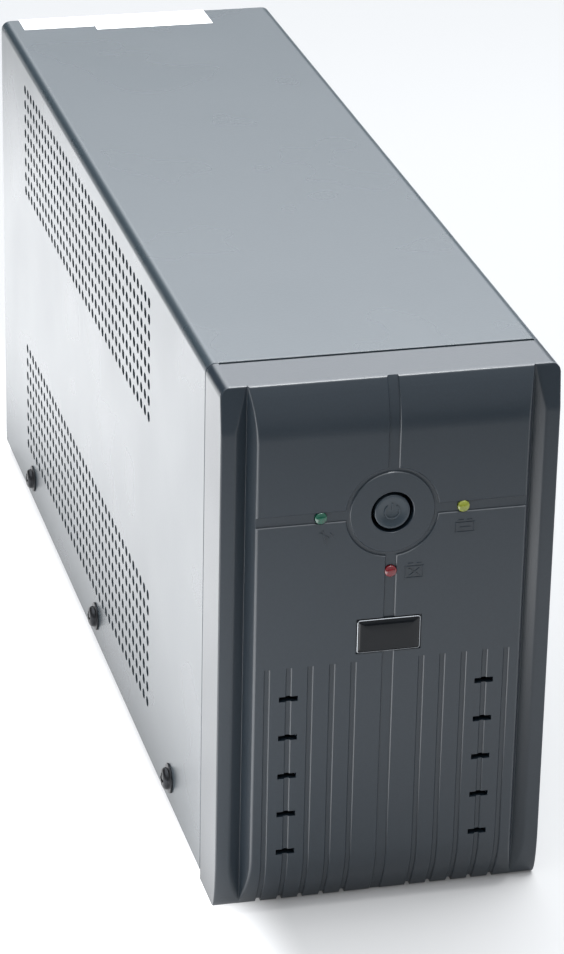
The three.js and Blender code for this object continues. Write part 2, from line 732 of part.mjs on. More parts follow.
function addOutputSocket(name, x, z) {
  const floor = FACE_Y - 15.5;
  const back = 309;
  const moat = solidOf(block(x - 15.6, x + 15.6, floor, FACE_Y + 1, z - 11.85, z + 11.85)).subtract(
    solidOf(block(x - 12, x + 12, floor - 1, FACE_Y - 0.6, z - 8.15, z + 8.15)),
  );
  const contacts = [[-7, -2], [7, -2], [0, 2]].map(([dx, dz]) =>
    block(x + dx - 1.3, x + dx + 1.3, FACE_Y - 14, FACE_Y + 1, z + dz - 2.4, z + dz + 2.4),
  );
  const body = joined([
    block(x - 18.5, x + 18.5, CASE_DEPTH + GAP, FACE_Y, z - 15, z + 15),
    block(x - 16.9, x + 16.9, back, CASE_DEPTH + GAP + 0.5, z - 13.2, z + 13.2),
  ]);
  addSolid(name, black, body.subtract(moat).subtract(joined(contacts)));
}

function addDataPorts() {
  const x = SOCKET_X;
  const jackInner = 316;
  const usbInner = 318;
  const ports = [-7.2, 7.2].flatMap((dx) => [
    block(x + dx - 5.9, x + dx + 5.9, FACE_Y - 12.5, FACE_Y + 1, DATA_JACK_Z - 4.6, DATA_JACK_Z + 3.4),
    block(x + dx - 2, x + dx + 2, FACE_Y - 12.5, FACE_Y + 1, DATA_JACK_Z - 6.1, DATA_JACK_Z - 4.5),
  ]);
  addPiece(
    "data_jack",
    black,
    [
      block(x - 16, x + 16, CASE_DEPTH + GAP, FACE_Y, DATA_JACK_Z - 8, DATA_JACK_Z + 8),
      block(x - 15, x + 15, jackInner, CASE_DEPTH + GAP + 0.5, DATA_JACK_Z - 7, DATA_JACK_Z + 7),
    ],
    ports,
  );
  const well = solidOf(block(x - 4.25, x + 4.25, FACE_Y - 10, FACE_Y + 1, USB_Z - 3.9, USB_Z + 3.9)).subtract(
    solidOf(block(x - 2.8, x + 2.8, FACE_Y - 11, FACE_Y - 1, USB_Z - 1.6, USB_Z + 1.6)),
  );
  const shell = joined([
    block(x - 7, x + 7, CASE_DEPTH + GAP, FACE_Y - 0.8, USB_Z - 6.6, USB_Z + 6.6),
    block(x - 6, x + 6, usbInner, FACE_Y, USB_Z - 5.5, USB_Z + 5.5),
  ]);
  addSolid("usb_port", steel, shell.subtract(well));
}

addBezel();
addBadge();
addButton();
addDisplay();
addCover();
addTray();
addRearPanel();
addFeet();
addCoverScrews();
addLabels();
addBattery();
addTransformer();
addMainBoard();
addInlet();
OUTPUT_SOCKETS.forEach(([name, x, z]) => addOutputSocket(name, x, z));
addDataPorts();

export default unit;
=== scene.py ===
"""A small uninterruptible power supply: its fine shapes and finishes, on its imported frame."""
import json
import math

import bmesh
import bpy
from mathutils import Matrix, Vector


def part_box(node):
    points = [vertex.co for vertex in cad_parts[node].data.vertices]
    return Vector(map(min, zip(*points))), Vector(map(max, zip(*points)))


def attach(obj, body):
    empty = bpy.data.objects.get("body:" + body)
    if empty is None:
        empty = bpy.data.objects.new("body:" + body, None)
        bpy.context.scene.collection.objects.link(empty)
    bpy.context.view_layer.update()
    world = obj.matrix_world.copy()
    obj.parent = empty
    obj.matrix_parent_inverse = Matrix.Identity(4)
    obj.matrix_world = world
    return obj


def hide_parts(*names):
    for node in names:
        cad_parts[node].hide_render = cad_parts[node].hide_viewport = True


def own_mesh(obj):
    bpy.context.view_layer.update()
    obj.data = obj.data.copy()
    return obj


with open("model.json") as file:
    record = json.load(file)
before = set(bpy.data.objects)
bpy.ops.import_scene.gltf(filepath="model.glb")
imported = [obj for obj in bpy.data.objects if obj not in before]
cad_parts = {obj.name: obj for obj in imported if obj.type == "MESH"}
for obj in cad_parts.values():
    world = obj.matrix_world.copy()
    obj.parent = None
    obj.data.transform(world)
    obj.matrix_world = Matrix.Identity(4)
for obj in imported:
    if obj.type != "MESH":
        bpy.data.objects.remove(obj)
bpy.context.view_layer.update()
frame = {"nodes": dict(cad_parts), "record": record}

NODES = frame["nodes"]
RECORD = frame["record"]
BODY_OF = {node: body for body, nodes in RECORD["behaviour"]["bodies"].items() for node in nodes}
SLOT_OF = {part["node"]: part["material_slot"] for part in RECORD["subparts"]}

# ---- Driving dimensions, in millimetres. y is counted back from the face of the bezel's side bars. ----
MM = 0.001
HALF = 47.5
CASE_TOP = 160.0
CASE_DEPTH = 333.0
SHEET = 1.0
TRAY_BOTTOM = 3.2
COVER_RADIUS = 3.0
COVER_FRONT = 19.1

BEZEL_BACK = 18.5
BEZEL_BOTTOM = 0.4
BEZEL_WALL = 2.4
BEZEL_SIDE_WALL = 2.3
PANEL_INSIDE = -1.1
LIP_HALF, LIP_WALL, LIP_FRONT, LIP_BACK, LIP_LOW = 46.2, 1.6, 15.5, 22.0, 10.0
POST_X, POST_ABOVE_BUTTON, POST_R = 26.0, 7.0, 2.5
BOARD_FACE = 16.7
PANEL_PROUD = 3.0
PANEL_HALF = 38.0
PANEL_DRAFT = 0.44
PANEL_TOP_BEND = 144.6
PANEL_TOP_RADIUS = 28.0
PANEL_BOTTOM_BEND = 17.6
PANEL_BOTTOM_RADIUS = 25.6
BAR_TOP_BEND = 147.1
BAR_BOTTOM_BEND = 15.6
BAR_BOTTOM_BACK = 3.2
BAR_INNER = 43.5
BAR_GROOVE_X = 40.1
BAR_GROOVE_Y = 1.7
EDGE_ROLL = 0.55
FOOT_ROLL = 0.3

BUTTON_Z = 121.4
BUTTON_HOLE_R = 6.0
BUTTON_R = 5.0
BUTTON_BOSS_R, BUTTON_BOSS_BACK = 8.0, 7.0
BUTTON_DISH_R, BUTTON_DISH_DEPTH, BUTTON_RECESS = 4.2, 0.5, 0.7
BUTTON_FLANGE_R, BUTTON_FLANGE_Y, BUTTON_FLANGE_THICK = 7.4, 7.4, 1.2
BUTTON_STEM_R, BUTTON_STEM_END = 2.0, 12.5
RING_R = 12.55
RING_WIDTH = 1.3
CROSS_WIDTH = 3.2
GROOVE_DEPTH = 0.5
GROOVE_LIP = 0.25
LED_R = 1.7
LED_CROWN = 0.6
LED_FLANGE_R, LED_FLANGE_Y, LED_FLANGE_THICK = 1.9, 2.6, 1.0
LED_LEG_X, LED_LEG_HALF = 0.65, 0.25
LEDS = {"led_green": (-20.1, BUTTON_Z), "led_yellow": (20.1, BUTTON_Z), "led_red": (0.0, 103.7)}

RIB_X = (9.7, 15.8, 22.0, 28.1, 34.3)
RIB_WIDTH = 1.5
RIB_TOP = 76.8
SLOT_X, SLOT_WIDTH, SLOT_HEIGHT, SLOT_LOWEST, SLOT_PITCH, SLOT_ROWS = 28.1, 5.4, 1.6, 19.1, 12.05, 5
BADGE_WIDTH, BADGE_HEIGHT, BADGE_Z, BADGE_POCKET = 18.0, 10.0, 84.5, 0.6

VENT_R = 1.6
VENT_PITCH_Y, VENT_PITCH_Z = 5.2, 5.1
VENT_COLUMNS, VENT_ROWS = 39, 8
VENT_FIRST_Y = 91.0
VENT_FIELDS_Z = (20.5, 114.0)
SCREW_Y = (59.5, 169.5, 279.5)
SCREW_Z = 11.1
SCREW_HOLE_R = 2.1
LABEL_THICK = 0.15

FACE_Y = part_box("front_bezel")[0].y / MM + PANEL_PROUD


def at(x, y, z):
    """A point of the unit, in the frame's metres."""
    return Vector((x, y + FACE_Y, z)) * MM


# ---- Curves ----

def rounded(path, radii, steps=3):
    """An open line whose inner corners are rounded by the given radii."""
    points = [path[0]]
    for before, corner, after, radius in zip(path, path[1:], path[2:], radii):
        before, corner, after = Vector(before), Vector(corner), Vector(after)
        reach = min(radius, 0.45 * (before - corner).length, 0.45 * (after - corner).length)
        start = corner + (before - corner).normalized() * reach
        end = corner + (after - corner).normalized() * reach
        for i in range(steps + 1):
            t = i / steps
            points.append(tuple(start * (1 - t) ** 2 + corner * 2 * t * (1 - t) + end * t**2))
    points.append(path[-1])
    return points


def mirrored(half):
    """A section drawn for x > 0 from its middle outwards, completed on the other side."""
    return [(-x, y) for x, y in reversed(half)] + list(half)


def quarter(steps):
    return [math.pi / 2 * i / steps for i in range(steps + 1)]


# ---- Meshes ----

def make_mesh(name, points, faces):
    mesh = bpy.data.meshes.new(name)
    mesh.from_pydata([at(*p) for p in points], [], faces)
    bm = bmesh.new()
    bm.from_mesh(mesh)
    bmesh.ops.remove_doubles(bm, verts=bm.verts, dist=0.002 * MM)
    bmesh.ops.recalc_face_normals(bm, faces=bm.faces)
    bm.to_mesh(mesh)
    bm.free()
    piece = bpy.data.objects.new(name, mesh)
    bpy.context.scene.collection.objects.link(piece)
    return piece


def loft(name, rings):
    """A closed body through rings of equally many points."""
    size = len(rings[0])
    faces = [tuple(range(size)), tuple(range((len(rings) - 1) * size, len(rings) * size))]
    for j in range(len(rings) - 1):
        for i in range(size):
            k = (i + 1) % size
            faces.append((j * size + i, j * size + k, (j + 1) * size + k, (j + 1) * size + i))
    return make_mesh(name, [p for ring in rings for p in ring], faces)


def turned(name, profile, place, sides=48):
    """A closed (radius, height) profile turned about an axis. place puts a point of it in the unit."""
    size = len(profile)
    points, faces = [], []
    for k in range(sides):
        angle = 2 * math.pi * k / sides
        points += [place(r * math.cos(angle), r * math.sin(angle), height) for r, height in profile]
        after = (k + 1) % sides
        for i in range(size):
            j = (i + 1) % size
            faces.append((k * size + i, k * size + j, after * size + j, after * size + i))
    return make_mesh(name, points, faces)


def facing_front(x, z):
    """Places a turned shape on an axis along y."""
    return lambda u, v, height: (x + u, height, z + v)


def slab(name, x0, x1, y0, y1, z0, z1):
    return loft(name, [[(x0, y, z0), (x1, y, z0), (x1, y, z1), (x0, y, z1)] for y in (y0, y1)])


def joined(name, pieces):
    """Several closed bodies as one object."""
    bm = bmesh.new()
    for piece in pieces:
        bm.from_mesh(piece.data)
        bpy.data.objects.remove(piece)
    mesh = bpy.data.meshes.new(name)
    bm.to_mesh(mesh)
    bm.free()
    whole = bpy.data.objects.new(name, mesh)
    bpy.context.scene.collection.objects.link(whole)
    return whole


def bake_modifiers(piece):
    graph = bpy.context.evaluated_depsgraph_get()
    mesh = bpy.data.meshes.new_from_object(piece.evaluated_get(graph))
    piece.modifiers.clear()
    piece.data = mesh


def carve(piece, tools, operation="DIFFERENCE"):
    """Cuts the tools out of a piece, or adds them to it."""
    for tool in tools:
        cut = piece.modifiers.new(operation.lower(), "BOOLEAN")
        cut.operation = operation
        cut.solver = "MANIFOLD"
        cut.object = tool
    bake_modifiers(piece)
    for tool in tools:
        bpy.data.objects.remove(tool)


def smooth(piece, sharp_degrees=35):
    """Rounded edges shade softly and the flats beside them stay flat."""
    piece.data.shade_smooth()
    piece.data.set_sharp_from_angle(angle=math.radians(sharp_degrees))
    weighted = piece.modifiers.new("weighted", "WEIGHTED_NORMAL")
    weighted.keep_sharp = True
    bake_modifiers(piece)


def stands_for(piece, material, *nodes):
    """The finished piece takes the place of CAD nodes of one body."""
    piece.data.materials.clear()
    piece.data.materials.append(material)
    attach(piece, BODY_OF[nodes[0]])
    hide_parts(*nodes)


def joins(piece, material, body):
    """An extra piece that stands for no CAD node of its own."""
    piece.data.materials.clear()
    piece.data.materials.append(material)
    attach(piece, body)


# ---- Materials ----

def linear(hex_colour):
    """An sRGB hex colour as linear RGBA."""
    channels = [int(hex_colour[i : i + 2], 16) / 255 for i in (1, 3, 5)]
    return (*(c / 12.92 if c <= 0.04045 else ((c + 0.055) / 1.055) ** 2.4 for c in channels), 1.0)


def add_node(tree, kind, inputs=None, **settings):
    """Adds a node. An input given as a socket is linked, and any other is set."""
    node = tree.nodes.new(kind)
    for name, value in settings.items():
        setattr(node, name, value)
    for name, value in (inputs or {}).items():
        if isinstance(value, bpy.types.NodeSocket):
            tree.links.new(value, node.inputs[name])
        else:
            node.inputs[name].default_value = value
    return node


def new_material(name, **constants):
    """A material with its principled shader, whose even values are set on the shader's own sockets."""
    material = bpy.data.materials.new(name)
    material.use_nodes = True
    shader = material.node_tree.nodes["Principled BSDF"]
    for socket, value in constants.items():
        shader.inputs[socket.replace("_", " ")].default_value = value
    return material, material.node_tree, shader


def link(tree, output, shader, socket):
    tree.links.new(output, shader.inputs[socket])


def ramp(tree, value, start, end, low, high):
    """A smooth passage from low, where the value is start, to high, where it is end."""
    limits = {"Value": value, "From Min": start, "From Max": end, "To Min": low, "To Max": high}
    return add_node(tree, "ShaderNodeMapRange", limits, interpolation_type="SMOOTHSTEP").outputs["Result"]


def combine(tree, operation, first, second):
    return add_node(tree, "ShaderNodeMath", {0: first, 1: second}, operation=operation).outputs["Value"]


def speckled(name, dark, light, grain_mm, roughness, bump_mm, **constants):
    """A surface with a fine grain in its colour and its relief, and broad slow changes in its gloss."""
    material, tree, shader = new_material(name, **constants)
    place = add_node(tree, "ShaderNodeTexCoord")
    grain = add_node(
        tree,
        "ShaderNodeTexNoise",
        {"Vector": place.outputs["Object"], "Scale": 1 / (grain_mm * MM), "Detail": 3.0, "Roughness": 0.6},
    )
    cloud = add_node(
        tree,
        "ShaderNodeTexNoise",
        {"Vector": place.outputs["Object"], "Scale": 1 / (40 * MM), "Detail": 2.0},
    )
    tint = add_node(tree, "ShaderNodeMix", {"Factor": grain.outputs["Fac"]}, data_type="RGBA")
    tint.inputs["A"].default_value = linear(dark)
    tint.inputs["B"].default_value = linear(light)
    gloss = add_node(
        tree,
        "ShaderNodeMapRange",
        {"Value": cloud.outputs["Fac"], "To Min": roughness - 0.04, "To Max": roughness + 0.04},
    )
    relief = add_node(
        tree,
        "ShaderNodeBump",
        {"Height": grain.outputs["Fac"], "Strength": 1.0, "Distance": bump_mm * MM},
    )
    link(tree, tint.outputs["Result"], shader, "Base Color")
    link(tree, gloss.outputs["Result"], shader, "Roughness")
    link(tree, relief.outputs["Normal"], shader, "Normal")
    return material


# Epoxy-polyester powder coat, sprayed on steel sheet: a fine even orange peel that breaks up reflections.
powder_coat = speckled("powder_coated_steel", "#2c353b", "#333d43", 0.9, 0.28, 0.015, IOR=1.5)
# Moulded ABS with a fine spark-eroded grain: a dry, even grey with soft reflections.
# The grain is drawn at 0.6 mm, coarser than the real one, so that it shows.
bezel_abs = speckled(
    "moulded_abs_spark_eroded", "#182128", "#212a32", 0.6, 0.3, 0.025, IOR=1.5, Specular_IOR_Level=0.6
)
# Polished moulded ABS of the button: smoother and glossier than the bezel, and slightly lighter.
button_abs = speckled("moulded_abs_polished", "#262f36", "#2c363d", 0.6, 0.25, 0.003, IOR=1.5)
# Zinc-plated sheet: silvery, with faint crystal patches from the bath.
zinc_sheet = speckled("zinc_plated_steel", "#9fa3a6", "#b9bdbf", 3.0, 0.34, 0.004, Metallic=1.0)
# Black zinc plating on pressed steel screws: dark metal with a soft sheen.
black_zinc = speckled("black_zinc_plated_steel", "#2a2b2d", "#37383a", 0.8, 0.38, 0.004, Metallic=1.0)
# Natural rubber with carbon black: dull and nearly black.
rubber = speckled("black_rubber", "#171717", "#1e1e1e", 1.0, 0.8, 0.02, IOR=1.52)
# Glass-filled nylon of the sockets: black with a slight mottle from the fibres.
nylon = speckled("black_glass_filled_nylon", "#151617", "#1d1e1f", 0.7, 0.5, 0.01, IOR=1.53)
# Polypropylene battery case: dark grey, waxy.
polypropylene = speckled("grey_polypropylene", "#3a3d40", "#44474a", 0.8, 0.5, 0.01, IOR=1.49)
# Natural nylon of the bobbin and plunger: ivory, slightly waxy.
ivory_nylon = speckled("ivory_nylon", "#cfcab8", "#dcd8c8", 0.9, 0.45, 0.01, IOR=1.53)
# Green solder mask over glass-epoxy laminate: glossy, with a faint mottle.
solder_mask = speckled("green_solder_mask", "#1f5c35", "#287043", 0.8, 0.28, 0.006, IOR=1.55)
# Stamped brass contacts.
brass = speckled("stamped_brass", "#b08d4f", "#c4a468", 1.2, 0.3, 0.003, Metallic=1.0)
# Bright steel of the spring's drawn wire and of the USB port's shell: grey, with a clear sheen.
spring_steel = speckled("spring_steel_wire", "#9a9da0", "#b3b6b9", 0.6, 0.28, 0.002, Metallic=1.0)
# Varnished silicon-steel laminations.
core_steel = speckled("varnished_laminations", "#3f3a36", "#54504b", 1.0, 0.5, 0.02, Metallic=0.6)
# Enamelled copper wire under varnish.
copper_wire = speckled("enamelled_copper_wire", "#7d3f1f", "#a5592f", 1.0, 0.35, 0.03, Metallic=0.7)
# Bright nickel plating on the badge's frame.
bright_nickel = speckled("bright_nickel_plate", "#8f9295", "#a3a6a9", 0.8, 0.2, 0.001, Metallic=1.0)
# Clear resin poured over a dark printed foil: black with a wet gloss.
badge_resin = speckled(
    "poured_resin_over_foil", "#07090c", "#0e1216", 1.5, 0.08, 0.002, IOR=1.55, Specular_IOR_Level=0.25
)
# Extruded aluminium heat sinks.
aluminium = speckled("extruded_aluminium", "#a8abad", "#bcbfc1", 1.0, 0.36, 0.006, Metallic=1.0)
# Coated label paper: matt white.
label_paper = speckled("coated_label_paper", "#eceeee", "#f6f7f7", 0.7, 0.55, 0.004, IOR=1.5)
# PVC insulation of the battery leads.
red_pvc = speckled("red_pvc", "#8c1616", "#a31d1d", 0.9, 0.4, 0.006, IOR=1.53)
black_pvc = speckled("black_pvc", "#161616", "#1e1e1e", 0.9, 0.4, 0.006, IOR=1.53)
# Sand-filled glass tube of the fuse: pale, opaque and glossy.
fuse_glass = speckled("fuse_glass", "#cfd8da", "#e2e9ea", 0.9, 0.12, 0.002, IOR=1.5)


def tinted_epoxy(name, dark, light):
    """Diffused epoxy of a lamp: glossy, with soft lighter and darker patches in its tint."""
    material, tree, shader = new_material(
        name, IOR=1.54, Roughness=0.12, Coat_Weight=0.4, Coat_Roughness=0.05
    )
    place = add_node(tree, "ShaderNodeTexCoord")
    cloud = add_node(tree, "ShaderNodeTexNoise", {"Vector": place.outputs["Object"], "Scale": 1 / (2 * MM)})
    tint = add_node(tree, "ShaderNodeMix", {"Factor": cloud.outputs["Fac"]}, data_type="RGBA")
    tint.inputs["A"].default_value = linear(dark)
    tint.inputs["B"].default_value = linear(light)
    link(tree, tint.outputs["Result"], shader, "Base Color")
    return material


green_epoxy = tinted_epoxy("green_tinted_epoxy", "#012a1f", "#055640")
yellow_epoxy = tinted_epoxy("yellow_tinted_epoxy", "#4a510c", "#8f9732")
red_epoxy = tinted_epoxy("red_tinted_epoxy", "#3a040a", "#7c0d1a")

FINISHES = {
    "case_paint": powder_coat,
    "zinc_sheet": zinc_sheet,
    "bezel_plastic": bezel_abs,
    "badge": zinc_sheet,
    "black_plastic": nylon,
    "battery_plastic": polypropylene,
    "ivory_plastic": ivory_nylon,
    "rubber": rubber,
    "black_steel": black_zinc,
    "circuit_board": solder_mask,
    "brass": brass,
    "spring_steel": spring_steel,
    "core_iron": core_steel,
    "winding": copper_wire,
    "aluminium": aluminium,
    "label_paper": label_paper,
    "lead_red": red_pvc,
    "lead_black": black_pvc,
    "fuse_glass": fuse_glass,
    "lens_green": green_epoxy,
    "lens_yellow": yellow_epoxy,
    "lens_red": red_epoxy,
}


# ---- Front bezel ----

def roll(z):
    """How far the front's top and bottom edges turn back at height z."""
    for radius, from_edge in ((EDGE_ROLL, CASE_TOP - z), (FOOT_ROLL, z - BEZEL_BOTTOM)):
        if from_edge < radius:
            return radius - math.sqrt(radius**2 - (radius - max(from_edge, 0.0)) ** 2)
    return 0.0


def bar_face(z):
    if z < BAR_BOTTOM_BEND:
        t = (BAR_BOTTOM_BEND - z) / (BAR_BOTTOM_BEND - BEZEL_BOTTOM)
        return BAR_BOTTOM_BACK * (1 - math.sqrt(max(0.0, 1 - t * t)))
    return max(0.0, z - BAR_TOP_BEND) * 0.123


def panel_face(z):
    z = min(max(z, BEZEL_BOTTOM), CASE_TOP)
    low = max(0.0, PANEL_BOTTOM_BEND - z) ** 2 / (2 * PANEL_BOTTOM_RADIUS)
    high = max(0.0, z - PANEL_TOP_BEND) ** 2 / (2 * PANEL_TOP_RADIUS)
    return low + high - PANEL_PROUD


def half_width(z):
    above = z - (CASE_TOP - COVER_RADIUS)
    if above <= 0:
        return HALF
    return HALF - COVER_RADIUS + math.sqrt(max(0.0, COVER_RADIUS**2 - above**2))


def bezel_heights():
    """Where the bezel's section changes, from its bottom to its top."""
    bottom = [BAR_BOTTOM_BEND - (BAR_BOTTOM_BEND - BEZEL_BOTTOM) * math.sin(a) for a in quarter(12)]
    edge = [EDGE_ROLL * (1 - math.sin(a)) for a in quarter(3)]
    foot = [BEZEL_BOTTOM + FOOT_ROLL * (1 - math.sin(a)) for a in quarter(3)]
    corner = [CASE_TOP - COVER_RADIUS * (1 - math.sin(a)) for a in quarter(6)]
    arc = [PANEL_TOP_BEND + 0.08 * (CASE_TOP - PANEL_TOP_BEND) * i for i in range(12)]
    heights = bottom + foot + [PANEL_BOTTOM_BEND] + corner + arc
    heights += [CASE_TOP - d for d in edge] + [BAR_TOP_BEND]
    kept = []
    for z in sorted(heights):
        if not kept or z - kept[-1] > 0.05:
            kept.append(z)
    kept[-1] = CASE_TOP
    return kept


def bezel_section(z):
    panel = panel_face(z) + roll(z)
    bar = bar_face(z) + roll(z)
    floor = max(BAR_GROOVE_Y, bar)

    def wall(y):
        return PANEL_HALF + PANEL_DRAFT * (y + PANEL_PROUD)

    bar_inner = BAR_INNER - 2 * bar if bar < BAR_GROOVE_Y else wall(floor) + 0.05
    groove_x = BAR_GROOVE_X if bar < BAR_GROOVE_Y else wall(floor) + 0.02
    half = rounded(
        [
            (0.0, panel),
            (wall(panel), panel),
            (groove_x, floor),
            (max(bar_inner, groove_x + 0.02), bar),
            (half_width(z), bar),
            (half_width(z), BEZEL_BACK),
        ],
        [0.6, 0.12, 0.5, 0.45],
    )
    return [(x, y, z) for x, y in mirrored(half) if x]


def groove_section(width, depth):
    """Half a groove's section from its middle outwards, as (across, depth below the face)."""
    half = (width - GROOVE_LIP) / 2
    floor_turn = rounded([(0, depth), (half, depth), (half, GROOVE_LIP)], [0.2], 2)
    lip = rounded([(half, GROOVE_LIP), (half, 0.9 * GROOVE_LIP), (half + GROOVE_LIP, -0.02)], [0.1], 1)
    return floor_turn[:-1] + lip + [(half + GROOVE_LIP, -2.0)]


def upright_groove(name, x, width, z0, z1):
    heights = [z0] + [z for z in bezel_heights() if z0 < z < z1] + [z1]
    section = mirrored(groove_section(width, GROOVE_DEPTH))
    return loft(name, [[(x + u, panel_face(z) + s, z) for u, s in section] for z in heights])


def level_groove(name, x0, x1):
    section = mirrored(groove_section(CROSS_WIDTH, GROOVE_DEPTH))
    return loft(name, [[(x, s - PANEL_PROUD, BUTTON_Z + u) for u, s in section] for x in (x0, x1)])


def bezel_body():
    body = loft("front_bezel_shape", [bezel_section(z) for z in bezel_heights()])
    inside = HALF - BEZEL_SIDE_WALL
    low, high = BEZEL_BOTTOM + BEZEL_WALL, CASE_TOP - BEZEL_WALL
    carve(
        body,
        [
            slab("hollow", -inside, inside, 4, BEZEL_BACK + 1, low, high),
            slab("panel_hollow", -PANEL_HALF + 2, PANEL_HALF - 2, -0.6, 4.1, 19, 143),
        ],
    )
    lip_top = CASE_TOP - SHEET - 0.3
    arch = mirrored(cover_arch(LIP_HALF, lip_top, COVER_RADIUS - SHEET - 0.3))
    lip = loft("lip", [[(x, y, max(z, LIP_LOW)) for x, z in arch] for y in (LIP_FRONT, LIP_BACK)])
    clear = LIP_HALF - LIP_WALL
    carve(lip, [slab("lip_hollow", -clear, clear, 0, LIP_BACK + 3, LIP_LOW - 5, lip_top - LIP_WALL)])
    post = [(0, PANEL_INSIDE), (POST_R, PANEL_INSIDE), (POST_R, BOARD_FACE), (0, BOARD_FACE)]
    post_z = BUTTON_Z + POST_ABOVE_BUTTON
    posts = [turned("post", post, facing_front(x, post_z), 20) for x in (-POST_X, POST_X)]
    sleeve = [
        (0, PANEL_INSIDE),
        (BUTTON_BOSS_R, PANEL_INSIDE),
        (BUTTON_BOSS_R, BUTTON_BOSS_BACK),
        (0, BUTTON_BOSS_BACK),
    ]
    boss = turned("boss", sleeve, facing_front(0, BUTTON_Z))
    carve(body, [lip, boss, *posts], "UNION")
    return body


def bezel_cuts():
    ring_reach = RING_R - 0.15
    groove = [(RING_R + u, s - PANEL_PROUD) for u, s in mirrored(groove_section(RING_WIDTH, GROOVE_DEPTH))]
    cuts = [
        turned("ring", groove, facing_front(0, BUTTON_Z), 96),
        upright_groove("cross_low", 0, CROSS_WIDTH, 0, BUTTON_Z - ring_reach),
        upright_groove("cross_high", 0, CROSS_WIDTH, BUTTON_Z + ring_reach, CASE_TOP + 1),
        level_groove("cross_left", -PANEL_HALF - 2.5, -ring_reach),
        level_groove("cross_right", ring_reach, PANEL_HALF + 2.5),
    ]
    rib_places = [side * x for x in RIB_X for side in (-1, 1)]
    cuts += [upright_groove("rib", x, RIB_WIDTH, 0, RIB_TOP) for x in rib_places]
    for side in (-1, 1):
        for row in range(SLOT_ROWS):
            x, z = side * SLOT_X, SLOT_LOWEST + row * SLOT_PITCH
            half_x, half_z = SLOT_WIDTH / 2, SLOT_HEIGHT / 2
            cuts.append(slab("slot", x - half_x, x + half_x, -5, 1, z - half_z, z + half_z))
    face = -PANEL_PROUD
    rim = face - 0.02
    mouth = rounded([(BUTTON_HOLE_R + 2, rim), (BUTTON_HOLE_R, rim), (BUTTON_HOLE_R, 9)], [0.35])
    cuts.append(turned("button_hole", [(0, -5), (8, -5), *mouth, (0, 9)], facing_front(0, BUTTON_Z), 64))
    hole = LED_R + 0.1
    for x, z in LEDS.values():
        cuts.append(turned("lamp_hole", [(0, -5), (hole, -5), (hole, 1), (0, 1)], facing_front(x, z), 32))
    across, up = BADGE_WIDTH / 2 + 0.3, BADGE_HEIGHT / 2 + 0.3
    cuts.append(slab("badge_pocket", -across, across, -5, face + BADGE_POCKET, BADGE_Z - up, BADGE_Z + up))
    cuts.append(slab("seam_rebate", -44, 45, BEZEL_BACK - 0.9, BEZEL_BACK + 1, CASE_TOP - 1, CASE_TOP + 1))
    half = RIB_WIDTH / 2
    cuts += [slab("rib_end", x - half, x + half, -5, 5.2, 0, BEZEL_BOTTOM + 1.3) for x in rib_places]
    return cuts


def raised_line(name, points, width=0.45, height=0.22):
    """A thin rib moulded on the panel's flat face, through points given as (x, z)."""
    strips = []
    for (x0, z0), (x1, z1) in zip(points, points[1:]):
        along = Vector((x1 - x0, z1 - z0)).normalized() * width / 2
        across = Vector((-along.y, along.x))
        rings = []
        for x, z in ((x0 - along.x, z0 - along.y), (x1 + along.x, z1 + along.y)):
            shape = [(-1, 0.3), (-0.5, -height), (0.5, -height), (1, 0.3)]
            rings.append([(x + u * across.x, y - PANEL_PROUD, z + u * across.y) for u, y in shape])
        strips.append(loft(name, rings))
    return strips


def lamp_marks():
    """Plain signs beside the lamps: a mains plug, a battery, and a battery with a cross."""
    def frame_line(x0, x1, z0, z1):
        return [(x0, z0), (x1, z0), (x1, z1), (x0, z1), (x0, z0)]

    plug_x, plug_z = -19.0, 115.6
    lines = [
        [(plug_x - 1.2, plug_z + 1.4), (plug_x + 1.2, plug_z - 0.2)],
        [(plug_x - 0.4, plug_z + 1.8), (plug_x + 0.4, plug_z - 2.0)],
        [(plug_x + 1.8, plug_z + 1.0), (plug_x + 2.3, plug_z + 0.2)],
        frame_line(18.1, 23.3, 113.7, 116.5),
        [(19.0, 117.3), (20.0, 117.3)],
        [(21.4, 117.3), (22.4, 117.3)],
        [(19.4, 115.1), (22.0, 115.1)],
        frame_line(4.2, 9.2, 101.2, 104.6),
        [(5.0, 105.5), (6.0, 105.5)],
        [(7.4, 105.5), (8.4, 105.5)],
        [(5.4, 101.9), (8.0, 103.9)],
        [(5.4, 103.9), (8.0, 101.9)],
    ]
    return [strip for line in lines for strip in raised_line("lamp_mark", line)]


def build_bezel():
    bezel = bezel_body()
    carve(bezel, bezel_cuts())
    carve(bezel, lamp_marks(), "UNION")
    smooth(bezel)
    bezel.name = "bezel_moulding"
    stands_for(bezel, bezel_abs, "front_bezel")


# ---- Outer cover ----

def cover_arch(half, top, radius):
    """The cover's line over one side, from the middle of the top to the bottom edge, as (x, z)."""
    bend = [(half - radius * (1 - math.sin(a)), top - radius * (1 - math.cos(a))) for a in quarter(6)]
    return [(0.0, top), *bend, (half, TRAY_BOTTOM)]


